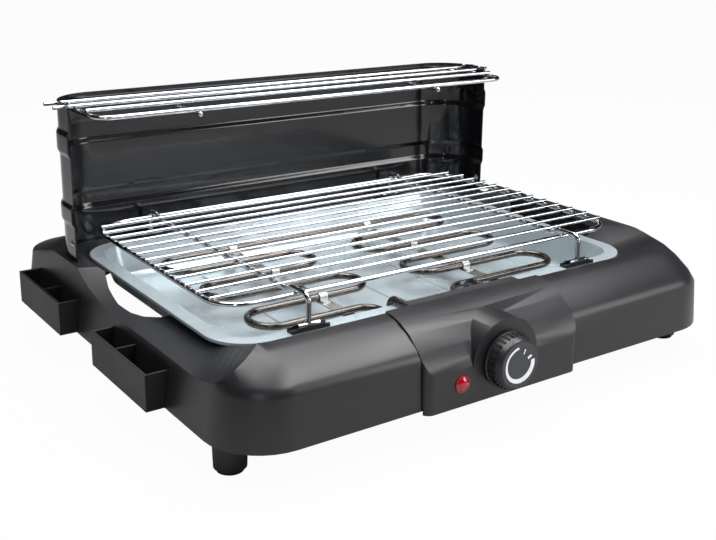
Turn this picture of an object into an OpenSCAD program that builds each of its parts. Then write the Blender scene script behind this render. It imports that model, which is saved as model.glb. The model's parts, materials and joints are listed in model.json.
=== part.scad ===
// Electric table grill: open-bottomed plastic housing with a lift-out drip pan, a plug-in heater unit
// with its control box at the front, a welded grill rack, a three-sided sheet windshield and a
// warming rack that hangs in the windshield's notches. All sizes in mm, +Z up, front towards -Y.

/* [Housing] */
// Width of the housing at its bottom edge
body_w = 520; // [480:1:560]
// Depth of the housing at its bottom edge
body_d = 475; // [450:1:520]
// Height of the crease round the side walls
crease_z = 40.5; // [30:0.5:50]
// Height of the ridge along the sides and front
ridge_z = 70; // [66:0.5:74]
// Height of the rear deck
deck_z = 57; // [50:0.5:62]
// Plan radius of the housing corners
body_r = 50; // [30:1:60]
// Wall thickness of the housing
wall = 3; // [2:0.5:4]
// Height of the legs below the housing edge
leg_drop = 27; // [15:1:40]

/* [Pan] */
// Width over the pan rim
pan_w = 450; // [420:1:460]
// Depth over the pan rim
pan_d = 310; // [280:1:314]
// Height of the pan rim
rim_z = 53; // [48:0.5:56]
// Height of the pan floor
floor_z = 21; // [14:0.5:30]
// Sheet thickness of the pan
pan_t = 1.2; // [0.8:0.1:2]

/* [Grill rack] */
// Width over the centres of the outer wire
rack_w = 433; // [400:1:440]
// Depth over the centres of the outer wire
rack_d = 271; // [250:1:280]
// Number of long wires inside the outer wire
rack_wires = 13; // [9:1:17]
// Diameter of the outer wire and leg wires
frame_wire = 4.6; // [4:0.1:6]
// Diameter of the long wires
thin_wire = 3.2; // [2.5:0.1:4]
// Height of the outer wire's centre
rack_z = 77; // [70:0.5:84]

/* [Windshield] */
// Width over the wings
shield_w = 493; // [480:1:496]
// Height of the windshield's top edge
shield_top = 204; // [180:1:230]
// Sheet thickness of the windshield
shield_t = 1.2; // [0.8:0.1:2]
// Depth of the pressed beads
bead = 2.2; // [1:0.1:3]

/* [Warming rack] */
// Height of the warming rack's wire centres
warm_z = 197; // [190:1:205]

/* [Control unit] */
// Left side of the control box
unit_x0 = -98; // [-110:1:-80]
// Right side of the control box
unit_x1 = 66; // [50:1:90]
// Knob axis, sideways
knob_x = -17.5; // [-40:0.5:10]
// Knob axis, height
knob_z = 28; // [20:0.5:32]
// Diameter of the knob's foot
knob_d = 47; // [36:1:52]
// Number of grip ribs round the knob
knob_ribs = 30; // [18:1:48]

/* [Hidden] */
// node to build, or all of them
// front and rear edge of the housing
y_front = -225;
y_back = y_front + body_d;
hw = body_w/2;
ledge_z = rim_z - 2.5;
// the knob's face is the foremost point, so the origin sits half-way between it and the back
knob_depth = 17;
knob_face = 20.2;
box_y = -231;
box_rear = -176;
// neck behind the box that leads the tube ends in over the pan rim
neck_x0 = -66;
neck_x1 = 55;
neck_rear = -156.5;
neck_z0 = ledge_z + 0.7;
neck_z1 = 62.5;
y_mid = (y_back + box_y - knob_depth)/2;
// pan rim edges
pan_y0 = -150;
pan_y1 = pan_y0 + pan_d;
pan_r = 40;
// inner opening below the pan rim
well_x = pan_w/2 - 11;
// windshield back, wing ends and corner radius
sh_y = 167.5;
sh_r = 44;
wing_y = 105;
sh_z0 = deck_z - 3;
groove = 1.8;
// rack position
rack_y0 = 9 - rack_d/2;
rack_y1 = 9 + rack_d/2;
pitch = rack_d/(rack_wires + 1);
rack_rf = 30;
rack_rr = 42;
cross_x = 150;
// depth two welded wires sink into each other
weld = 0.3;
leg_y0 = pan_y0 + 5.5;
leg_y1 = pan_y1 - 5.5;
rest_top = rim_z + 1.6;
// line of the screw posts in the control box, and its lamp
post_y = -184;
lamp_x = -62.5;
lamp_z = 16.5;
// heating element
tube = 6.5;
el_z = 41.5;
el_x = 170.5 - tube/2;
el_in = 25 + tube/2;
el_p = 41.8;
el_y = 107;
el_r = el_p/2;
term_l = -59;
term_r = 26;
term_z = rim_z + tube/2 + 0.75;
// leg positions
leg_x = 240;
leg_yf = -178;
leg_yr = y_back - 47;
leg_in = 12;
// warming rack, its bars on top of the outer wire
warm_w = 474;
bar_z = warm_z + 3.9;
warm_y0 = 60;
warm_y1 = 162;
hang_y = [114, 138];
warm_tie_x = 139;
eps = 0.02;
housing_col = [0.16, 0.16, 0.18];
black = [0.06, 0.06, 0.06];
chrome = [0.8, 0.8, 0.82];
pan_col = [0.72, 0.8, 0.84];
steel = [0.62, 0.62, 0.62];

module placed() translate([0, -y_mid, leg_drop]) children();

module mirror_x() {
  children();
  mirror([1, 0, 0]) children();
}

// one thin rounded-rectangle layer, used to loft the housing
module layer(x, y0, y1, r, z) {
  for (s = [-1, 1]) {
    translate([s*(x - r), y0 + r, z]) cylinder(r=r, h=eps, $fn=36);
    translate([s*(x - r), y1 - r, z]) cylinder(r=r, h=eps, $fn=36);
  }
}

module round_rect(x0, x1, y0, y1, r, fn=48) {
  translate([x0 + r, y0]) square([x1 - x0 - 2*r, y1 - y0]);
  translate([x0, y0 + r]) square([x1 - x0, y1 - y0 - 2*r]);
  for (x = [x0 + r, x1 - r]) for (y = [y0 + r, y1 - r]) translate([x, y]) circle(r=r, $fn=fn);
}

// sweep of a flat profile (x outward, y up) round a rectangle w by d with corner radius r
module ring_sweep(w, d, r, fn=48) {
  for (a = [0, 180]) rotate([0, 0, a]) translate([w/2, d/2 - r, 0]) rotate([90, 0, 0])
    linear_extrude(d - 2*r) children();
  for (a = [90, 270]) rotate([0, 0, a]) translate([d/2, w/2 - r, 0]) rotate([90, 0, 0])
    linear_extrude(w - 2*r) children();
  for (c = [[1, 1, 0], [-1, 1, 90], [-1, -1, 180], [1, -1, 270]])
    translate([c[0]*(w/2 - r), c[1]*(d/2 - r), 0]) rotate([0, 0, c[2]])
      rotate_extrude(angle=90, $fn=fn) translate([r, 0]) children();
}

// sweep of the same kind of profile round three sides: both wings and the back
module wing_sweep(w, y0, y1, r, fn=64) {
  for (s = [0, 1]) mirror([s, 0, 0]) {
    translate([w/2, y1 - r, 0]) rotate([90, 0, 0]) linear_extrude(y1 - r - y0) children();
    translate([w/2 - r, y1 - r, 0]) rotate_extrude(angle=90, $fn=fn) translate([r, 0]) children();
  }
  rotate([0, 0, 90]) translate([y1, w/2 - r, 0]) rotate([90, 0, 0]) linear_extrude(w - 2*r)
    children();
}

// ---------------------------------------------------------------- housing
// loft of the outer form: vertical draught to the crease, then a crowned slope to the ridge
module outer_form() {
  hull() {
    layer(hw, y_front, y_back, body_r, 0);
    layer(hw - 6, y_front + 1, y_back - 3, body_r - 4, crease_z);
    layer(hw - 7.5, y_front + 7, y_back - 30, body_r - 4, crease_z + 8);
    layer(hw - 8.5, y_front + 20, y_back - 59, body_r - 4, crease_z + 17);
    layer(hw - 9.5, y_front + 34, y_back - 79, body_r - 6, ridge_z - 6.5);
    layer(hw - 10, y_front + 46, y_back - 87, body_r - 7, ridge_z - 4);
    layer(hw - 11, y_front + 62, y_back - 100, body_r - 8, ridge_z - eps);
  }
}

module inner_form() {
  hull() {
    layer(hw - wall, y_front + wall, y_back - wall, body_r - wall, -1);
    layer(hw - 6 - wall, y_front + 1 + wall, y_back - 3 - wall, body_r - 4 - wall, crease_z - 2.2);
    layer(hw - 7.5 - wall, y_front + 12, y_back - 31, body_r - 4 - wall, crease_z + 5);
    layer(hw - 8.5 - wall, y_front + 23, y_back - 60, body_r - 4 - wall, crease_z + 14);
    layer(hw - 11 - wall, y_front + 62, y_back - 103, body_r - 8 - wall, ridge_z - 3.3);
  }
}

// tapered well the pan drops into; g grows it to leave the wall round it
module well(g) {
  hull() {
    layer(pan_w/2 + 3 + g, pan_y0 - 3 - g, pan_y1 + 2.6 + g, pan_r + 3 + g, ledge_z - g);
    layer(pan_w/2 + 24 + g, pan_y0 - 35 - g, pan_y1 + 2.7 + g, pan_r + 3 + g, ridge_z + 1);
  }
}

module deck_step() {
  // everything above the rear deck, with a hollow curved step at its front end
  r = ridge_z - deck_z;
  rotate([90, 0, 90]) linear_extrude(2*hw, center=true) difference() {
    translate([84, deck_z]) square([y_back - 70, 30]);
    difference() {
      translate([84, deck_z - 1]) square([r, r + 1]);
      translate([84 + r, ridge_z]) circle(r=r, $fn=64);
    }
  }
}

// height of the dip's edge beside the pan: it falls slowly from the front and rises fast behind
dip_low = 44;
dip_y0 = -125;
dip_y1 = 57;
function dip(y) = dip_low + (ridge_z - dip_low)*(y < 22 ? pow((22 - y)/(22 - dip_y0), 1.26)
  : pow((y - 22)/(dip_y1 - 22), 1.7));

module dip_slab(thick) rotate([90, 0, 90]) linear_extrude(thick)
  polygon(concat([for (y = [dip_y0 : 7 : dip_y1]) [y, dip(y)]], [[dip_y1 + 3, 115], [dip_y0, 115]]));

// hollow inside the right ridge where a hand reaches in beside the pan, with a long slot through it
module hand_scoop() {
  translate([226, 0, 0]) dip_slab(15.1);
  // beyond the slot its floor climbs to the ridge
  hull() {
    translate([241, 0, 0]) dip_slab(eps);
    translate([250.5, 0, ridge_z - dip_low + 1]) dip_slab(eps);
  }
  translate([0, 0, -10]) linear_extrude(90) round_rect(225.8, 241, -82, 38, 7.5);
}

// height of the open left strip, level beside the hand hole and rising to the corners
strip_low = 44;
strip_y0 = -176;
strip_y1 = 92;
function strip(y) = strip_low + (ridge_z - strip_low)*(y < 20 ? pow((20 - y)/201, 4.2)
  : pow((y - 20)/(strip_y1 - 20), 2));

module strip_slab(thick) rotate([90, 0, 90]) linear_extrude(thick)
  polygon(concat([for (y = [strip_y0 : 6.7 : strip_y1]) [y, strip(y)]],
    [[strip_y1 + 1, 115], [strip_y0, 115]]));

// height of its outer edge, which follows the crease and climbs at both corners
function strip_edge(y) = crease_z - 0.5 + (y < -150 ? 26*pow((-150 - y)/74, 2)
  : y > 0 ? 17*pow(y/strip_y1, 2) : 0);

// everything above the left strip, which falls outwards to the crease
module left_dip() mirror([1, 0, 0]) {
  hull() {
    translate([213, 0, 0]) strip_slab(15);
    translate([256, 0, 0]) rotate([90, 0, 90]) linear_extrude(eps)
      polygon(concat([for (y = [-224 : 7.9 : strip_y1]) [y, strip_edge(y)]],
        [[strip_y1 + 1, 115], [-224, 115]]));
  }
  translate([213, 58, deck_z]) cube([53, 40, 40]);
}

// rounded hole between the left strip and the pan, open to the well
module hand_hole() mirror([1, 0, 0]) translate([0, 0, -10]) linear_extrude(90)
  offset(r=6, $fn=48) offset(delta=-6)
    polygon([[200, -38], [226, -32], [236, -21], [241, -5], [242, 20], [238, 50], [230, 80], [200, 100]]);

module housing_shell() color(housing_col) placed() {
  difference() {
    union() {
      difference() {
        outer_form();
        difference() {
          inner_form();
          well(wall);
          translate([0, 0, -wall]) left_dip();
          translate([0, 0, deck_z - 2.6]) linear_extrude(30) translate([-hw, 88]) square([body_w, 200]);
        }
      }
      // bosses the legs screw into
      for (x = [-1, 1]) translate([x*leg_x, 0, leg_in]) {
        translate([0, leg_yf, 0]) cylinder(d=13, h=ridge_z - 18 - leg_in, $fn=40);
        translate([0, leg_yr, 0]) cylinder(d=13, h=crease_z + 4.5 - leg_in, $fn=40);
      }
      // rib under the deck below the windshield's groove
      translate([0, 0, deck_z - 7]) linear_extrude(5) shield_plan(6.4, wing_y - 4);
    }
    well(0);
    translate([0, 0, -5]) linear_extrude(80)
      round_rect(-well_x, well_x, pan_y0 + 11, pan_y1 - 11, 29);
    deck_step();
    hand_scoop();
    left_dip();
    hand_hole();
    // seat of the control box, down to a low bridge
    translate([unit_x0 - 0.5, y_front - 20, 6])
      cube([unit_x1 - unit_x0 + 1, box_rear + 0.5 - y_front + 20, 80]);
    translate([neck_x0 - 0.6, box_rear - 5, ledge_z]) cube([neck_x1 - neck_x0 + 1.2, 40, 40]);
    // groove of the windshield
    translate([0, 0, sh_z0]) linear_extrude(20) shield_plan(groove);
    for (x = [-1, 1]) for (y = [leg_yf, leg_yr]) translate([x*leg_x, y, leg_in - 1])
      cylinder(d=3.4, h=25, $fn=24);
    // cooling slots in the back wall
    for (i = [-4:4]) translate([i*22 - 3, y_back - 12, 12]) cube([6, 20, 18]);
  }
}

// plan of the windshield, g wide about the sheet's middle line
module shield_plan(g, y0=wing_y - 0.4) {
  w = shield_w - shield_t;
  y1 = sh_y - shield_t/2;
  r = sh_r - shield_t/2;
  for (s = [0, 1]) mirror([s, 0]) {
    translate([w/2 - g/2, y0]) square([g, y1 - r - y0]);
    translate([w/2 - r, y1 - r]) intersection() {
      difference() {
        circle(r=r + g/2, $fn=96);
        circle(r=r - g/2, $fn=96);
      }
      square(2*r);
    }
  }
  translate([-w/2 + r, y1 - g/2]) square([w - 2*r, g]);
}

// ---------------------------------------------------------------- legs
module leg(x, y) color(black) placed() translate([x, y, 0]) difference() {
  union() {
    translate([0, 0, -leg_drop + 3]) cylinder(d1=25.5, d2=27, h=leg_drop - 3, $fn=64);
    cylinder(d=27, h=leg_in, $fn=64);
  }
  translate([0, 0, -leg_drop - 1]) cylinder(d=8.4, h=leg_drop + leg_in - 7, $fn=40);
  translate([0, 0, -1]) cylinder(d=3.4, h=leg_in + 2, $fn=24);
}
module leg_front_left() leg(-leg_x, leg_yf);
module leg_front_right() leg(leg_x, leg_yf);
module leg_rear_left() leg(-leg_x, leg_yr);
module leg_rear_right() leg(leg_x, leg_yr);

module foot_pads() color([0.1, 0.1, 0.1]) placed()
  for (x = [-leg_x, leg_x]) for (y = [leg_yf, leg_yr]) translate([x, y, -leg_drop])
    cylinder(d1=21, d2=23, h=3, $fn=48);

module leg_screws() color(steel) placed()
  for (x = [-leg_x, leg_x]) for (y = [leg_yf, leg_yr]) translate([x, y, 0]) {
    translate([0, 0, leg_in - 8]) cylinder(d=3.3, h=20, $fn=24);
    difference() {
      translate([0, 0, leg_in - 11]) cylinder(d=7, h=3, $fn=32);
      for (a = [0, 90]) rotate([0, 0, a]) translate([-2, -0.5, leg_in - 12]) cube([4, 1, 2.4]);
    }
  }

// ---------------------------------------------------------------- shelf sockets
// open-topped pocket with one partition; the draughted side wall closes its back
module socket(y0, y1, part_y) color(black) placed() {
  back = hw + 0.03;
  difference() {
    translate([0, y1, 0]) rotate([90, 0, 0]) linear_extrude(y1 - y0)
      polygon([[back, 0], [back + 15.5, 0], [back + 15.5, 31], [back - 31*6/crease_z, 31]]);
    difference() {
      translate([hw - 10, y0 + 2.5, 2.5]) cube([23.2, y1 - y0 - 5, 40]);
      translate([hw - 10, part_y - 1.25, 0]) cube([40, 2.5, 31]);
    }
    // lower edge broken for the shelf's hooks
    for (y = [(y0 + part_y)/2, (y1 + part_y)/2]) translate([hw + 5, y - 8, -1]) cube([5, 16, 5]);
  }
}
module socket_right_front() socket(-110, 0, -48);
module socket_right_rear() socket(77, 186, 123);
module socket_left_front() mirror([1, 0, 0]) socket(-110, 0, -48);
module socket_left_rear() mirror([1, 0, 0]) socket(77, 186, 123);

// ---------------------------------------------------------------- drip pan
module pan_profile() {
  t = pan_t;
  f = floor_z - rim_z;
  polygon([[0, 0], [0, -2.5], [-t, -2.5], [-t, -t], [-11.8, -t], [-19.8, f + 6.5], [-21.4, f + 3],
    [-24.4, f - t + 1.2], [-28, f - t], [-30, f - t], [-30, f], [-28.2, f], [-25, f + 1.1],
    [-22.4, f + 3.8], [-21.2, f + 6.5], [-13.2, 0]]);
}

module drip_pan() color(pan_col) placed() {
  translate([0, (pan_y0 + pan_y1)/2, rim_z]) ring_sweep(pan_w, pan_d, pan_r) pan_profile();
  translate([0, 0, floor_z - pan_t]) linear_extrude(pan_t)
    round_rect(-pan_w/2 + 30, pan_w/2 - 30, pan_y0 + 30, pan_y1 - 30, pan_r - 30);
  // raised beads pressed into the floor
  intersection() {
    union() {
      for (x = [-120, -60, 0, 60, 120]) translate([x, 5, floor_z - 0.6]) rotate([90, 0, 0])
        cylinder(r=1.8, h=190, center=true, $fn=20);
      for (y = [-115, 125]) translate([0, y, floor_z - 0.6]) rotate([0, 90, 0])
        cylinder(r=1.8, h=300, center=true, $fn=20);
    }
    translate([-200, -140, floor_z - 0.5]) cube([400, 280, 8]);
  }
}

// rests for the rack's feet, clipped on the pan rim, with a trough the wire drops into
module rest(x, y) color(black) placed() translate([x, y, rim_z]) difference() {
  translate([-17.5, -4.5, 0]) cube([35, 9, 4.4]);
  translate([-20, -frame_wire/2 - 0.5, rest_top - rim_z]) cube([40, frame_wire + 1, 10]);
  for (x = [-17.5, 13.5]) translate([x - 1, -6, 3.2]) cube([6, 12, 4]);
}
module rest_front_left() rest(-cross_x, leg_y0);
module rest_front_right() rest(cross_x, leg_y0);
module rest_rear_left() rest(-cross_x, leg_y1);
module rest_rear_right() rest(cross_x, leg_y1);

// ---------------------------------------------------------------- wires
module wire_x(x0, x1, y, z, d, fn=20) translate([x0, y, z]) rotate([0, 90, 0])
  cylinder(d=d, h=x1 - x0, $fn=fn);
module wire_y(x, y0, y1, z, d, fn=20) translate([x, y0, z]) rotate([-90, 0, 0])
  cylinder(d=d, h=y1 - y0, $fn=fn);
module wire_z(x, y, z0, z1, d, fn=20) translate([x, y, z0]) cylinder(d=d, h=z1 - z0, $fn=fn);

// quarter bend in the plane x = const; c is its centre, a its first angle seen from +X
module bend_yz(x, y, z, r, a, d) translate([x, y, z]) rotate([90, 0, 90])
  rotate([0, 0, a]) rotate_extrude(angle=90, $fn=32) translate([r, 0]) circle(d=d, $fn=20);
// bend in the level plane
module bend_xy(x, y, z, r, a, sweep, d, fn=40) translate([x, y, z]) rotate([0, 0, a])
  rotate_extrude(angle=sweep, $fn=fn) translate([r, 0]) circle(d=d, $fn=20);

// closed level wire, rf and rr being its front and rear corner radii
module wire_ring(w, y0, y1, rf, rr, z, d) {
  wire_x(-w/2 + rf, w/2 - rf, y0, z, d);
  wire_x(-w/2 + rr, w/2 - rr, y1, z, d);
  mirror_x() {
    wire_y(w/2, y0 + rf, y1 - rr, z, d);
    bend_xy(w/2 - rf, y0 + rf, z, rf, -90, 90, d);
    bend_xy(w/2 - rr, y1 - rr, z, rr, 0, 90, d);
  }
}

// ---------------------------------------------------------------- heater
module heating_element() color([0.34, 0.31, 0.27]) placed() {
  // six level runs joined by half-turns, outer ones at the sides and inner ones at the middle
  wire_x(-el_x + el_r, el_x - el_r, el_y, el_z, tube);
  for (s = [-1, 1]) {
    a = s > 0 ? -90 : 90;
    for (i = [0, 2]) bend_xy(s*(el_x - el_r), el_y - el_p*(i + 0.5), el_z, el_r, a, 180, tube);
    for (i = [1, 3]) bend_xy(s*(el_in + el_r), el_y - el_p*(i + 0.5), el_z, el_r, -a, 180, tube);
    for (i = [1:3]) wire_x(min(s*(el_in + el_r), s*(el_x - el_r)), max(s*(el_in + el_r), s*(el_x - el_r)),
      el_y - el_p*i, el_z, tube);
    bend_xy(s*(el_x - el_r), el_y - el_p*4.5, el_z, el_r, a, 180, tube);
    wire_x(min(s*(el_in + el_r), s*(el_x - el_r)), max(s*(el_in + el_r), s*(el_x - el_r)),
      el_y - el_p*4, el_z, tube);
  }
  front_run(-1, term_l);
  front_run(1, term_r);
}

// front run, its turn forward, and the rise to the terminal
module front_run(s, tx) {
  y = el_y - el_p*5;
  r = 16;
  q = 8.5;
  q1 = term_z - el_z - q;
  xe = tx + s*r;
  wire_x(min(xe, s*(el_x - el_r)), max(xe, s*(el_x - el_r)), y, el_z, tube);
  bend_xy(xe, y - r, el_z, r, s > 0 ? 90 : 0, 90, tube);
  wire_y(tx, y - 20, y - r, el_z, tube);
  bend_yz(tx, y - 20, el_z + q, q, 180, tube);
  bend_yz(tx, y - 20 - q - q1, el_z + q, q1, 0, tube);
  wire_y(tx, -163, y - 20 - q - q1, term_z, tube);
}

// flat steel strip under the runs, its ends turned down onto the pan floor
module strip(x) color(steel) placed() {
  z = el_z - tube/2 - 1;
  translate([x - 6, -112, z]) cube([12, 226, 1]);
  for (y = [-112, 113]) translate([x - 6, y, floor_z]) cube([12, 1, z - floor_z]);
}
module element_strip_left() strip(-83);
module element_strip_right() strip(83);

// clips bent over the tube where the strips cross the runs
module element_clips() color(steel) placed()
  for (x = [-83, 83]) for (i = [0, 2, 4]) translate([x, el_y - el_p*i, el_z]) difference() {
    union() {
      rotate([0, 90, 0]) cylinder(d=tube + 2, h=8, center=true, $fn=36);
      translate([-4, -tube/2 - 1, -tube/2]) cube([8, tube + 2, tube/2]);
      translate([-4, -9, -tube/2]) cube([8, 18, 1]);
    }
    rotate([0, 90, 0]) cylinder(d=tube, h=10, center=true, $fn=36);
    translate([-5, -tube/2, -tube/2 - 2]) cube([10, tube, tube/2 + 2]);
    translate([-5, -12, -tube/2 - 5]) cube([10, 24, 5]);
  }

// ---------------------------------------------------------------- control box
// side view of the box: x along the depth, y up; o shrinks it to the inner face
module box_side(o=0) {
  polygon([[box_y + o, -3], [box_y + o, 28], [box_y + 3 + o, 36.5], [-220 + o*0.8, 47 - o*0.5],
    [-208 + o*0.7, 57.5 - o*0.8], [-196 + o*0.3, 63.8 - o], [-185, 66.6 - o],
    [box_rear - o*0.8, 67.3 - o], [box_rear - o*0.8, -3]]);
}

module box_body(x0, x1, o) {
  translate([x0, 0, 0]) rotate([90, 0, 90]) linear_extrude(x1 - x0) box_side(o);
}

// plan outline of the box with rounded front corners
module box_plan(x0, x1, y0, r) {
  translate([x0, y0 + r]) square([x1 - x0, 100]);
  translate([x0 + r, y0]) square([x1 - x0 - 2*r, 50]);
  for (x = [x0 + r, x1 - r]) translate([x, y0 + r]) circle(r=r, $fn=40);
}

module box_cover() color(housing_col) placed() {
  t = 2.5;
  w = unit_x1 - unit_x0;
  difference() {
    union() {
      intersection() {
        box_body(unit_x0, unit_x1, 0);
        translate([0, 0, -10]) linear_extrude(100) box_plan(unit_x0, unit_x1, box_y, 8);
      }
      // round boss behind the knob, running back into the slope
      intersection() {
        translate([knob_x, box_y, knob_z]) rotate([-90, 0, 0]) cylinder(r=34, h=40, $fn=96);
        translate([-100, box_y, -3]) cube([200, 50, 80]);
      }
      translate([neck_x0, box_rear - 1, neck_z0])
        cube([neck_x1 - neck_x0, neck_rear - box_rear + 1, neck_z1 - neck_z0]);
    }
    difference() {
      union() {
        intersection() {
          box_body(unit_x0 + t, unit_x1 - t, t);
          translate([0, 0, -10]) linear_extrude(100)
            box_plan(unit_x0 + t, unit_x1 - t, box_y + t, 6);
        }
        translate([unit_x0 + t, box_y + t + 8, -8]) cube([w - 2*t, box_rear - 2 - box_y - t - 8, 40]);
        translate([unit_x0 + t + 8, box_y + t, -8]) cube([w - 2*t - 16, box_rear - 2 - box_y - t, 30]);
        translate([knob_x, box_y + t, knob_z]) rotate([-90, 0, 0]) cylinder(r=31.5, h=34, $fn=72);
      }
      // screw posts
      for (x = [unit_x0 + 12, unit_x1 - 12]) translate([x, post_y, 8]) cylinder(d=7, h=70, $fn=28);
    }
    // inside of the neck
    translate([neck_x0 + 1.5, box_rear - 10, neck_z0 + 1.5])
      cube([neck_x1 - neck_x0 - 3, neck_rear - box_rear + 20, neck_z1 - neck_z0 - 3]);
    // room for the bridge and the sides of the seat
    translate([unit_x0 - 1, y_front - 1, -10]) cube([w + 2, 80, 16]);
    // shaft and lamp holes
    translate([knob_x, box_y - 1, knob_z]) rotate([-90, 0, 0]) cylinder(d=10, h=8, $fn=32);
    translate([lamp_x, box_y - 1, lamp_z]) rotate([-90, 0, 0]) cylinder(d=12, h=8, $fn=40);
    for (x = [unit_x0 + 12, unit_x1 - 12]) translate([x, post_y, 6]) cylinder(d=2.6, h=24, $fn=20);
    // round recess behind the knob's skirt
    translate([knob_x, box_y - 1, knob_z]) rotate([-90, 0, 0]) cylinder(d=knob_d + 3, h=1.6, $fn=72);
  }
}

module box_base() color(housing_col*0.8) placed() {
  x0 = unit_x0 + 2.5;
  w = unit_x1 - unit_x0 - 5;
  difference() {
    union() {
      translate([x0, -228.5, 6]) cube([w, box_rear - 2 + 228.5, 2]);
      // upstand along the rear wall
      translate([x0, box_rear - 4, 7]) cube([w, 2, 24]);
    }
    for (x = [unit_x0 + 12, unit_x1 - 12]) translate([x, post_y, 0]) cylinder(d=3.2, h=12, $fn=20);
    // vents under the thermostat
    for (i = [-3:3]) translate([knob_x + i*12 - 2, -214, 0]) cube([4, 24, 12]);
    // rounded front corners clear the cover
    for (s = [0, 1]) translate([s ? unit_x1 - 2.5 - 6 : x0, -229, 5]) cube([6, 6, 5]);
  }
}

module box_screws() color(steel) placed()
  for (x = [unit_x0 + 12, unit_x1 - 12]) translate([x, post_y, 0]) {
    translate([0, 0, 6]) cylinder(d=2.5, h=16, $fn=20);
    difference() {
      translate([0, 0, 3.8]) cylinder(d=5.6, h=2.2, $fn=28);
      for (a = [0, 90]) rotate([0, 0, a]) translate([-1.6, -0.4, 3]) cube([3.2, 0.8, 1.8]);
    }
  }

// steel plate that closes the neck and holds the element's ends
module terminal_plate() color(steel) placed() difference() {
  translate([neck_x0 + 1.5, neck_rear - 3, neck_z0 + 1.5])
    cube([neck_x1 - neck_x0 - 3, 1.5, neck_z1 - neck_z0 - 3]);
  for (x = [term_l, term_r]) translate([x, -170, term_z]) rotate([-90, 0, 0])
    cylinder(d=tube, h=20, $fn=32);
}

module terminal_pins() color([0.8, 0.65, 0.3]) placed()
  for (x = [term_l, term_r]) {
    wire_y(x, -173, -163, term_z, 2.5);
    wire_y(x, -163.6, -163, term_z, 5);
  }

module thermostat_body() color([0.85, 0.83, 0.78]) placed() {
  translate([knob_x, box_y + 2.5, knob_z]) rotate([-90, 0, 0]) difference() {
    union() {
      translate([0, 0, -3.8]) cylinder(d=9.6, h=6, $fn=32);
      cylinder(d=26, h=6.5, $fn=48);
      translate([-14, -14, 6.5]) cube([28, 28, 16]);
      for (x = [-8, 8]) translate([x - 3, 10, 18]) cube([6, 1, 12]);
    }
    translate([0, 0, -5]) cylinder(d=6.1, h=18, $fn=32);
  }
}

module thermostat_shaft() color(steel) placed()
  translate([knob_x, box_y - 10, knob_z]) rotate([-90, 0, 0]) difference() {
    cylinder(d=6, h=24, $fn=32);
    translate([1.5, -5, -1]) cube([5, 10, 9]);
  }

// hexagon nut that clamps the thermostat's collar behind the knob
module thermostat_nut() color(steel) placed()
  translate([knob_x, box_y - 1.3, knob_z]) rotate([-90, 0, 0]) difference() {
    cylinder(d=13.8, h=1.9, $fn=6);
    translate([0, 0, -1]) cylinder(d=9.6, h=8, $fn=32);
  }

module terminal_block() color([0.9, 0.9, 0.86]) placed()
  translate([24, -213, 8]) difference() {
    cube([22, 30, 14]);
    for (y = [7.5, 22.5]) {
      translate([11, y, 4]) cylinder(d=4, h=12, $fn=24);
      translate([-1, y, 7]) rotate([0, 90, 0]) cylinder(d=3, h=24, $fn=24);
    }
  }

// ---------------------------------------------------------------- knob and lamp
// revolved knob body with a conical face edge, ribs let into its skirt
module knob_body() color(black) placed()
  translate([knob_x, box_y, knob_z]) rotate([90, 0, 0]) difference() {
    union() {
      rotate_extrude($fn=96) polygon([[0, knob_depth - 3.4], [0, knob_depth - 0.9],
        [knob_face - 0.5, knob_depth - 0.9], [knob_face, knob_depth - 1.3], [knob_d/2 - 1.7, 11.4],
        [knob_d/2 - 0.8, 3], [knob_d/2, 2.4], [knob_d/2, 0.6], [knob_d/2 - 2, 0.6],
        [knob_face - 1.6, knob_depth - 3.4]]);
      translate([0, 0, 2.6]) cylinder(d=11, h=knob_depth - 5, $fn=40);
      for (i = [0:knob_ribs - 1]) rotate([0, 0, i*360/knob_ribs])
        translate([knob_d/2 - 2.4, -0.8, 2.2]) cube([1.9, 1.6, 8.8]);
    }
    // D-shaped socket of the shaft
    difference() {
      translate([0, 0, 0]) cylinder(d=6.2, h=10.5, $fn=32);
      translate([1.6, -5, 2.2]) cube([5, 10, 12]);
    }
  }

// thin grey disc on the face
module knob_dial() color([0.3, 0.31, 0.33]) placed()
  translate([knob_x, box_y, knob_z]) rotate([90, 0, 0]) difference() {
    translate([0, 0, knob_depth - 0.9]) cylinder(r=knob_face - 1.2, h=0.6, $fn=80);
    translate([0, 0, knob_depth - 0.6]) taper_ring(0);
  }

// ring that grows wider round the dial, open at the upper right
module taper_ring(h0) linear_extrude(0.6 - h0) difference() {
  circle(r=15.5, $fn=96);
  translate([-0.9, 0.9]) circle(r=12.6, $fn=96);
  rotate([0, 0, 8]) square(20);
}
module knob_ring() color([0.95, 0.95, 0.95]) placed()
  translate([knob_x, box_y, knob_z]) rotate([90, 0, 0])
    translate([0, 0, knob_depth - 0.6]) taper_ring(0);

// plain stepped marks where the ring starts and ends
module dial_scale() color([0.95, 0.95, 0.95]) placed()
  translate([knob_x, box_y, knob_z]) rotate([90, 0, 0])
    translate([0, 0, knob_depth - 0.3]) {
      rotate([0, 0, 68]) translate([9, -0.5, 0]) cube([4.2, 1, 0.3]);
      rotate([0, 0, 26]) translate([9, -1, 0]) cube([4.2, 2, 0.3]);
    }

module lamp_lens() color([0.75, 0.05, 0.08]) placed()
  translate([lamp_x, box_y, lamp_z]) rotate([90, 0, 0]) {
    translate([0, 0, -6]) cylinder(d=11, h=6, $fn=40);
    cylinder(d=14, h=1, $fn=48);
    translate([0, 0, 1]) intersection() {
      translate([0, 0, -7.5]) sphere(r=10, $fn=48);
      cylinder(d=12.9, h=3, $fn=48);
    }
  }

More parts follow.
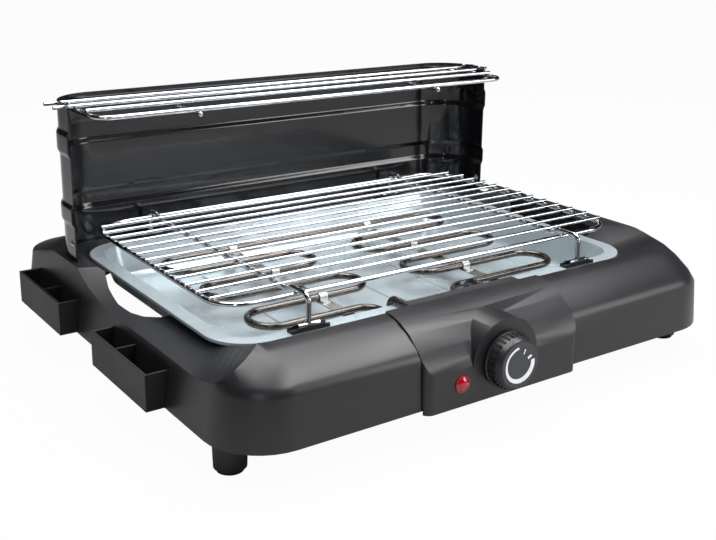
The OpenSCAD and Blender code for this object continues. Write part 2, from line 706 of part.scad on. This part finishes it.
module lamp_holder() color([0.85, 0.85, 0.8]) placed()
  translate([lamp_x, box_y + 2.5, lamp_z]) rotate([-90, 0, 0]) difference() {
    union() {
      cylinder(d=16, h=2, $fn=40);
      cylinder(d=13.4, h=13, $fn=40);
      for (x = [-2.5, 2.5]) translate([x - 0.3, -2, 12.5]) cube([0.6, 4, 7]);
    }
    translate([0, 0, -1]) cylinder(d=11, h=11, $fn=40);
  }

// ---------------------------------------------------------------- grill rack
module rack_frame() color(chrome) placed()
  wire_ring(rack_w, rack_y0, rack_y1, rack_rf, rack_rr, rack_z, frame_wire);

// how far a corner of radius r draws the outer wire in, off mm from its end
function corner_cut(r, off) = off < r ? r - sqrt(r*r - pow(r - off, 2)) : 0;

// long wires welded on top of the outer wire, their ends standing out a little
module rack_bars() color(chrome) placed()
  for (i = [1:rack_wires]) {
    cut = max(corner_cut(rack_rf, i*pitch), corner_cut(rack_rr, (rack_wires + 1 - i)*pitch));
    end = rack_w/2 - cut + 3;
    wire_x(-end, end, rack_y0 + i*pitch, rack_z + (frame_wire + thin_wire)/2 - weld, thin_wire, 16);
  }

// wire under the bars that rises over the outer wire and is bent down into feet
module leg_wire(x) color(chrome) placed() {
  d = frame_wire;
  top = rack_z + frame_wire - weld;
  run = 11;
  r = 6;
  zf = rest_top + d/2;
  y0 = rack_y0 + 17;
  y1 = rack_y1 - 17;
  wire_y(x, y0, y1, rack_z, d);
  wire_y(x, y1 + run, leg_y1 - r, top, d);
  wire_y(x, leg_y0 + r, y0 - run, top, d);
  slant(x, y1, rack_z, run, top - rack_z, d);
  slant(x, y0, rack_z, -run, top - rack_z, d);
  bend_yz(x, leg_y1 - r, top - r, r, 0, d);
  bend_yz(x, leg_y0 + r, top - r, r, 90, d);
  for (y = [leg_y0, leg_y1]) {
    wire_z(x, y, zf, top - r, d);
    wire_x(x - 10, x + 10, y, zf, d);
  }
}

// sloping length of wire between two kinks, dy along and dz up
module slant(x, y, z, dy, dz, d) {
  translate([x, y, z]) rotate([atan2(dz, dy) - 90, 0, 0])
    cylinder(d=d, h=norm([dy, dz]), $fn=20);
  translate([x, y, z]) sphere(d=d + 0.2, $fn=32);
  translate([x, y + dy, z + dz]) sphere(d=d + 0.2, $fn=32);
}
module rack_leg_wire_left() leg_wire(-cross_x);
module rack_leg_wire_right() leg_wire(cross_x);

// ---------------------------------------------------------------- windshield
// soft step from 0 to 1 between the heights a and b
function step(z, a, b) = z <= a ? 0 : z >= b ? 1 : (1 - cos(180*(z - a)/(b - a)))/2;
// outward press of the sheet at height z: a lower and an upper bead
function press(z) = bead*(step(z, 89, 95) - step(z, 106, 112) + step(z, 154, 160) - step(z, 174, 180));
// heights at which the profile bends
bends = [for (z0 = [89, 106, 154, 174]) for (i = [0:4]) z0 + i*1.5];

// side profile of the sheet with its folded top hem
module sheet_profile() {
  t = shield_t;
  outer = [for (z = bends) [press(z), z]];
  inner = [for (i = [len(bends) - 1:-1:0]) [press(bends[i]) - t, bends[i]]];
  polygon(concat([[0, sh_z0]], outer, [[0, shield_top], [-2*t, shield_top], [-2*t, shield_top - 5],
    [-t, shield_top - 5]], inner, [[-t, sh_z0]]));
}

module windshield_sheet() color(black) placed() difference() {
  wing_sweep(shield_w, wing_y, sh_y, sh_r) sheet_profile();
  // rounded upper front corners of the wings
  rotate([90, 0, 90]) linear_extrude(600, center=true) difference() {
    translate([wing_y - 1, shield_top - 4]) square([5, 5]);
    translate([wing_y + 4, shield_top - 4]) circle(r=4, $fn=40);
  }
  // notches the warming rack hangs in
  for (y = hang_y) translate([-300, y - 2.5, bar_z - thin_wire/2 - 0.2]) cube([600, 5, 20]);
  for (x = [-1, 1]) translate([x*shield_w/2, wing_y + 7, 73]) rotate([0, 90, 0])
    cylinder(d=3.4, h=12, center=true, $fn=24);
}

// domed studs through the lower front corners of the wings
module windshield_studs() color(steel) placed() mirror_x()
  translate([shield_w/2, wing_y + 7, 73]) rotate([0, 90, 0]) {
    translate([0, 0, -shield_t]) cylinder(d=3.4, h=shield_t, $fn=24);
    intersection() {
      translate([0, 0, -3.4]) sphere(r=5, $fn=40);
      cylinder(d=7, h=2, $fn=32);
    }
    translate([0, 0, -shield_t]) intersection() {
      translate([0, 0, 3.4]) sphere(r=5, $fn=40);
      translate([0, 0, -2]) cylinder(d=7, h=2, $fn=32);
    }
  }

// ---------------------------------------------------------------- warming rack
module warming_frame() color(chrome) placed()
  wire_ring(warm_w - frame_wire, warm_y0 + frame_wire/2, warm_y1 - frame_wire/2, 14, 38, warm_z,
    frame_wire);

module warming_bars() color(chrome) placed() {
  wire_x(-warm_w/2 + 0.5, warm_w/2 - 0.5, 86, bar_z, thin_wire + 0.4);
  for (y = hang_y) wire_x(-256, 256, y, bar_z, thin_wire + 0.4);
}

// wires tied under the bars, their front ends curled down
module warming_ties() color(chrome) placed() for (x = [-warm_tie_x, warm_tie_x]) {
  z = warm_z - frame_wire/2 - thin_wire/2 + 0.2;
  wire_y(x, warm_y0 - 3, warm_y1 - 1, z, thin_wire);
  translate([x, warm_y0 - 3, z]) sphere(d=5, $fn=24);
}

housing_shell();
leg_front_left();
leg_front_right();
leg_rear_left();
leg_rear_right();
foot_pads();
leg_screws();
socket_left_front();
socket_left_rear();
socket_right_front();
socket_right_rear();
drip_pan();
rest_front_left();
rest_front_right();
rest_rear_left();
rest_rear_right();
heating_element();
element_strip_left();
element_strip_right();
element_clips();
terminal_plate();
terminal_pins();
box_cover();
box_base();
box_screws();
thermostat_body();
thermostat_shaft();
thermostat_nut();
terminal_block();
knob_body();
knob_dial();
knob_ring();
dial_scale();
lamp_lens();
lamp_holder();
rack_frame();
rack_bars();
rack_leg_wire_left();
rack_leg_wire_right();
windshield_sheet();
windshield_studs();
warming_frame();
warming_bars();
warming_ties();
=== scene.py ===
"""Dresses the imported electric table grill: soft edges, materials, studio and camera."""
import json
import math

import bpy
from mathutils import Matrix, Vector

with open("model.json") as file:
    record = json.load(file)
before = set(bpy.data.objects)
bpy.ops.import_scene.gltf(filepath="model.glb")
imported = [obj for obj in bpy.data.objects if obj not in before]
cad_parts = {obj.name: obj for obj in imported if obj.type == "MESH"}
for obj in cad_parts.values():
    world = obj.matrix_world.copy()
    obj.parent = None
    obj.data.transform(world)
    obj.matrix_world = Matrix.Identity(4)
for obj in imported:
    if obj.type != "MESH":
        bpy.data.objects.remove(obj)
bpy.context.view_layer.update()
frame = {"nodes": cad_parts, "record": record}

MM = 0.001

# ------------------------------------------------------------------ camera
FRAME_W, FRAME_H = 716, 540
FOCAL_PX = 1071.0          # focal length in pixels of the 716 px wide frame
HORIZON_ROW = 213.0        # row that the optical axis passes through
CAM_PLACE = Vector((-0.5740, -0.8174, 0.3965))
CAM_AZIMUTH = math.radians(-35.0)
CAM_PITCH = math.radians(15.53)
CAM_ROLL = math.radians(0.65)
SENSOR = 36.0              # sensor width, mm


def add_camera():
    back = Vector((math.sin(CAM_AZIMUTH) * math.cos(CAM_PITCH),
                   -math.cos(CAM_AZIMUTH) * math.cos(CAM_PITCH),
                   math.sin(CAM_PITCH)))
    right = (-back).cross(Vector((0, 0, 1))).normalized()
    up = right.cross(-back)
    right2 = right * math.cos(CAM_ROLL) + up * math.sin(CAM_ROLL)
    up2 = up * math.cos(CAM_ROLL) - right * math.sin(CAM_ROLL)
    data = bpy.data.cameras.new("camera")
    data.sensor_width = SENSOR
    data.lens = FOCAL_PX / FRAME_W * SENSOR
    data.shift_y = -(FRAME_H / 2 - HORIZON_ROW) / FRAME_W
    data.clip_start = 0.01
    data.clip_end = 100.0
    cam = bpy.data.objects.new("camera", data)
    bpy.context.scene.collection.objects.link(cam)
    turn = Matrix((right2, up2, back)).transposed().to_4x4()
    cam.matrix_world = Matrix.Translation(CAM_PLACE) @ turn
    bpy.context.scene.camera = cam


# ------------------------------------------------------------------ materials
# noise values at which a mapped range starts and ends
NOISE_LOW, NOISE_HIGH = 0.3, 0.7


def new_material(name):
    mat = bpy.data.materials.new(name)
    mat.use_nodes = True
    tree = mat.node_tree
    shader = tree.nodes["Principled BSDF"]
    coords = tree.nodes.new("ShaderNodeTexCoord")
    return mat, tree, shader, coords.outputs["Object"]


def noise(tree, coords, scale, detail, stretch=(1, 1, 1)):
    """Noise of so many cells per metre; a stretch below 1 draws them out along that axis."""
    place = tree.nodes.new("ShaderNodeMapping")
    place.inputs["Scale"].default_value = stretch
    tree.links.new(coords, place.inputs["Vector"])
    tex = tree.nodes.new("ShaderNodeTexNoise")
    tex.inputs["Scale"].default_value = scale
    tex.inputs["Detail"].default_value = detail
    tree.links.new(place.outputs["Vector"], tex.inputs["Vector"])
    return tex.outputs["Fac"]


def spread(tree, value, low, high):
    """Maps a noise value onto the range low to high."""
    node = tree.nodes.new("ShaderNodeMapRange")
    node.inputs["From Min"].default_value = NOISE_LOW
    node.inputs["From Max"].default_value = NOISE_HIGH
    node.inputs["To Min"].default_value = low
    node.inputs["To Max"].default_value = high
    tree.links.new(value, node.inputs["Value"])
    return node.outputs["Result"]


def tint(tree, value, dark, light):
    """Colour that runs from dark to light with a noise value."""
    node = tree.nodes.new("ShaderNodeValToRGB")
    node.color_ramp.elements[0].position = NOISE_LOW
    node.color_ramp.elements[1].position = NOISE_HIGH
    node.color_ramp.elements[0].color = (*dark, 1)
    node.color_ramp.elements[1].color = (*light, 1)
    tree.links.new(value, node.inputs["Fac"])
    return node.outputs["Color"]


def bump(tree, height, strength, depth):
    node = tree.nodes.new("ShaderNodeBump")
    node.inputs["Strength"].default_value = strength
    node.inputs["Distance"].default_value = depth
    tree.links.new(height, node.inputs["Height"])
    return node.outputs["Normal"]


def shade(colour, factor):
    return tuple(min(1.0, c * factor) for c in colour)


def moulded_plastic(name, colour, rough, grain=1400, depth=0.00006, sheen=0.5):
    """Injection-moulded plastic: fine spark grain, slow gloss changes and faint colour drift."""
    mat, tree, shader, at = new_material(name)
    slow = noise(tree, at, 9, 3)
    fine = noise(tree, at, grain, 2)
    drift = tint(tree, slow, shade(colour, 0.88), shade(colour, 1.12))
    tree.links.new(drift, shader.inputs["Base Color"])
    tree.links.new(spread(tree, slow, rough - 0.04, rough + 0.04), shader.inputs["Roughness"])
    tree.links.new(bump(tree, fine, 0.35, depth), shader.inputs["Normal"])
    shader.inputs["Specular IOR Level"].default_value = sheen
    return mat


def enamel(name, colour, rough):
    """Glossy stoved enamel on sheet steel: orange peel and a clear coat."""
    mat, tree, shader, at = new_material(name)
    peel = noise(tree, at, 170, 2)
    slow = noise(tree, at, 6, 2)
    drift = tint(tree, slow, shade(colour, 0.8), shade(colour, 1.25))
    tree.links.new(drift, shader.inputs["Base Color"])
    tree.links.new(spread(tree, slow, rough - 0.03, rough + 0.05), shader.inputs["Roughness"])
    tree.links.new(bump(tree, peel, 0.25, 0.0002), shader.inputs["Normal"])
    shader.inputs["Coat Weight"].default_value = 0.25
    shader.inputs["Coat Roughness"].default_value = 0.06
    return mat


def pan_finish(name, colour):
    """Pale metallic coating on pressed steel, with a fine fleck."""
    mat, tree, shader, at = new_material(name)
    fleck = noise(tree, at, 2600, 1)
    slow = noise(tree, at, 14, 3)
    mix = tree.nodes.new("ShaderNodeMix")
    mix.data_type = "RGBA"
    mix.blend_type = "MULTIPLY"
    mix.inputs["Factor"].default_value = 1.0
    tree.links.new(tint(tree, slow, shade(colour, 0.94), shade(colour, 1.05)), mix.inputs["A"])
    tree.links.new(tint(tree, fleck, (0.9, 0.9, 0.92), (1, 1, 1)), mix.inputs["B"])
    tree.links.new(mix.outputs["Result"], shader.inputs["Base Color"])
    tree.links.new(spread(tree, slow, 0.2, 0.3), shader.inputs["Roughness"])
    tree.links.new(bump(tree, noise(tree, at, 220, 2), 0.12, 0.0002), shader.inputs["Normal"])
    shader.inputs["Metallic"].default_value = 0.35
    shader.inputs["Coat Weight"].default_value = 0.35
    shader.inputs["Coat Roughness"].default_value = 0.1
    return mat


def metal(name, colour, rough, spots=60, stretch=(1, 1, 1), scratch=900, relief=0.00003):
    """Bare or plated metal with drawn streaks and slow roughness changes."""
    mat, tree, shader, at = new_material(name)
    slow = noise(tree, at, spots, 3)
    streak = noise(tree, at, scratch, 2, stretch)
    drift = tint(tree, slow, shade(colour, 0.85), shade(colour, 1.08))
    tree.links.new(drift, shader.inputs["Base Color"])
    tree.links.new(spread(tree, streak, rough * 0.75, rough * 1.3), shader.inputs["Roughness"])
    tree.links.new(bump(tree, streak, 0.2, relief), shader.inputs["Normal"])
    shader.inputs["Metallic"].default_value = 1.0
    return mat


def clear_red(name):
    """Red lens of the pilot lamp."""
    mat, tree, shader, at = new_material(name)
    slow = noise(tree, at, 240, 2)
    drift = tint(tree, slow, (0.22, 0.0, 0.006), (0.5, 0.008, 0.02))
    tree.links.new(drift, shader.inputs["Base Color"])
    shader.inputs["Roughness"].default_value = 0.08
    shader.inputs["Coat Weight"].default_value = 0.5
    shader.inputs["Transmission Weight"].default_value = 0.25
    shader.inputs["Emission Color"].default_value = (0.7, 0.01, 0.02, 1)
    shader.inputs["Emission Strength"].default_value = 0.05
    return mat


# colour, roughness, then where they differ from the usual: grain per metre, grain depth, gloss
PLASTICS = {
    "housing_plastic": ((0.012, 0.012, 0.0145), 0.38),
    "black_plastic": ((0.005, 0.005, 0.006), 0.5, 1100, 0.00009),
    "foot_rubber": ((0.012, 0.012, 0.012), 0.75, 700, 0.00012, 0.3),
    "knob_plastic": ((0.014, 0.014, 0.016), 0.34, 1600, 0.00004),
    "dial_plastic": ((0.030, 0.033, 0.040), 0.34, 1800, 0.00003),
    "white_print": ((0.82, 0.83, 0.84), 0.4, 2200, 0.00002),
    "ivory_resin": ((0.72, 0.69, 0.58), 0.35, 1200, 0.00005),
}
# colour, roughness, then spots per metre, streak direction, streaks per metre and their depth
METALS = {
    "element_steel": ((0.125, 0.112, 0.102), 0.24, 25, (1, 1, 1), 160, 0.00001),
    "chrome_wire": ((0.58, 0.59, 0.61), 0.12, 90, (1, 1, 1), 1200, 0.00001),
    "zinc_steel": ((0.55, 0.55, 0.54), 0.3, 120, (1, 0.05, 1), 1500),
    "brass": ((0.72, 0.52, 0.22), 0.25),
}


def make_materials():
    made = {name: moulded_plastic(name, *values) for name, values in PLASTICS.items()}
    made.update({name: metal(name, *values) for name, values in METALS.items()})
    made["pan_coating"] = pan_finish("pan_coating", (0.46, 0.535, 0.565))
    made["black_enamel"] = enamel("black_enamel", (0.003, 0.003, 0.004), 0.13)
    made["lamp_red"] = clear_red("lamp_red")
    return made


# ------------------------------------------------------------------ CAD nodes
# radius of rounded sharp edges in mm
EDGE_ROUND = {
    "housing_shell": 0.9, "box_cover": 0.9, "knob_body": 0.25, "drip_pan": 0.3,
    "windshield_sheet": 0.3, "box_base": 0.4,
}
SOCKET_ROUND = 0.5
# turns below this many degrees are shaded as one smooth surface
SMOOTH_ANGLE = 46
# an edge is split only where it turns this much more, so that the rounding stays smooth
SPLIT_MARGIN = 2
WELD_GAP = 0.00001
BEVEL_SEGMENTS = 3


def soften(obj, radius_mm):
    """Smooth shading with rounded sharp edges, as modifiers only."""
    if "custom_normal" in obj.data.attributes:
        obj.data.attributes.remove(obj.data.attributes["custom_normal"])
    obj.data.shade_smooth()
    weld = obj.modifiers.new("weld", "WELD")
    weld.merge_threshold = WELD_GAP
    if radius_mm:
        bevel = obj.modifiers.new("round", "BEVEL")
        bevel.width = radius_mm * MM
        bevel.segments = BEVEL_SEGMENTS
        bevel.limit_method = "ANGLE"
        bevel.angle_limit = math.radians(SMOOTH_ANGLE)
        bevel.use_clamp_overlap = True
        bevel.harden_normals = False
    split = obj.modifiers.new("edges", "EDGE_SPLIT")
    split.split_angle = math.radians(SMOOTH_ANGLE + SPLIT_MARGIN)
    even = obj.modifiers.new("normals", "WEIGHTED_NORMAL")
    even.keep_sharp = True


def dress(materials):
    for entry in frame["record"]["subparts"]:
        name = entry["node"]
        node = frame["nodes"][name]
        node.data.materials.clear()
        node.data.materials.append(materials[entry["material_slot"]])
        radius = EDGE_ROUND.get(name, SOCKET_ROUND if name.startswith("socket") else 0)
        soften(node, radius)


# ------------------------------------------------------------------ studio
WORLD_LEVEL = 0.22         # strength of the surroundings in plain light
WORLD_MIRRORED = 0.025     # and in reflections
FLOOR_SIZE = 60            # m
FLOOR_GREY = 0.42
FLOOR_GLOW = 0.965         # share of plain white in what the camera sees of the floor
MIDDLE = (0, 0, 0.08)
# name: place, point it faces, width, height (m), power (W)
SOFTBOXES = {
    "overhead": ((-0.1, 0.15, 1.3), MIDDLE, 1.5, 0.8, 23),
    "slope": ((0.45, -0.5, 1.2), (-0.05, -0.2, 0.06), 1.3, 0.45, 18),
    "left": ((-1.2, -1.4, 0.6), (0, 0, 0.15), 0.14, 0.9, 2.5),
    "front_right": ((1.3, -1.6, 0.7), MIDDLE, 0.8, 0.9, 16),
}


def light_path(tree, *rays):
    """Highest of the given ray flags."""
    path = tree.nodes.new("ShaderNodeLightPath")
    out = path.outputs[rays[0]]
    for ray in rays[1:]:
        top = tree.nodes.new("ShaderNodeMath")
        top.operation = "MAXIMUM"
        tree.links.new(out, top.inputs[0])
        tree.links.new(path.outputs[ray], top.inputs[1])
        out = top.outputs[0]
    return out


def add_world():
    """White behind the object, grey in plain light and nearly black in reflections."""
    world = bpy.data.worlds.new("studio")
    bpy.context.scene.world = world
    world.use_nodes = True
    tree = world.node_tree
    tree.nodes.clear()
    out = tree.nodes.new("ShaderNodeOutputWorld")
    shades = []
    for strength in (WORLD_LEVEL, WORLD_MIRRORED, 1.0):
        back = tree.nodes.new("ShaderNodeBackground")
        back.inputs["Color"].default_value = (1, 1, 1, 1)
        back.inputs["Strength"].default_value = strength
        shades.append(back.outputs[0])
    glossy = tree.nodes.new("ShaderNodeMixShader")
    tree.links.new(light_path(tree, "Is Glossy Ray"), glossy.inputs["Fac"])
    tree.links.new(shades[0], glossy.inputs[1])
    tree.links.new(shades[1], glossy.inputs[2])
    seen = tree.nodes.new("ShaderNodeMixShader")
    tree.links.new(light_path(tree, "Is Camera Ray", "Is Transmission Ray"), seen.inputs["Fac"])
    tree.links.new(glossy.outputs[0], seen.inputs[1])
    tree.links.new(shades[2], seen.inputs[2])
    tree.links.new(seen.outputs[0], out.inputs["Surface"])


def add_floor():
    bpy.ops.mesh.primitive_plane_add(size=FLOOR_SIZE, location=(0, 0, 0))
    floor = bpy.context.object
    floor.name = "floor"
    mat = bpy.data.materials.new("floor")
    mat.use_nodes = True
    tree = mat.node_tree
    tree.nodes.clear()
    out = tree.nodes.new("ShaderNodeOutputMaterial")
    mix = tree.nodes.new("ShaderNodeMixShader")
    matt = tree.nodes.new("ShaderNodeBsdfDiffuse")
    matt.inputs["Color"].default_value = (FLOOR_GREY, FLOOR_GREY, FLOOR_GREY, 1)
    glow = tree.nodes.new("ShaderNodeEmission")
    glow.inputs["Color"].default_value = (1, 1, 1, 1)
    seen = tree.nodes.new("ShaderNodeMath")
    seen.operation = "MULTIPLY"
    seen.inputs[1].default_value = FLOOR_GLOW
    tree.links.new(light_path(tree, "Is Camera Ray"), seen.inputs[0])
    tree.links.new(seen.outputs[0], mix.inputs["Fac"])
    tree.links.new(matt.outputs[0], mix.inputs[1])
    tree.links.new(glow.outputs[0], mix.inputs[2])
    tree.links.new(mix.outputs[0], out.inputs["Surface"])
    floor.data.materials.append(mat)


def add_softbox(name, place, aim, width, height, power):
    data = bpy.data.lights.new(name, "AREA")
    data.shape = "RECTANGLE"
    data.size = width
    data.size_y = height
    data.energy = power
    lamp = bpy.data.objects.new(name, data)
    lamp.location = place
    lamp.rotation_euler = (Vector(aim) - Vector(place)).to_track_quat("-Z", "Y").to_euler()
    bpy.context.scene.collection.objects.link(lamp)


# ------------------------------------------------------------------ build
materials = make_materials()
dress(materials)
add_camera()
add_world()
add_floor()
for name, values in SOFTBOXES.items():
    add_softbox(name, *values)
bpy.context.scene.view_settings.view_transform = "Standard"
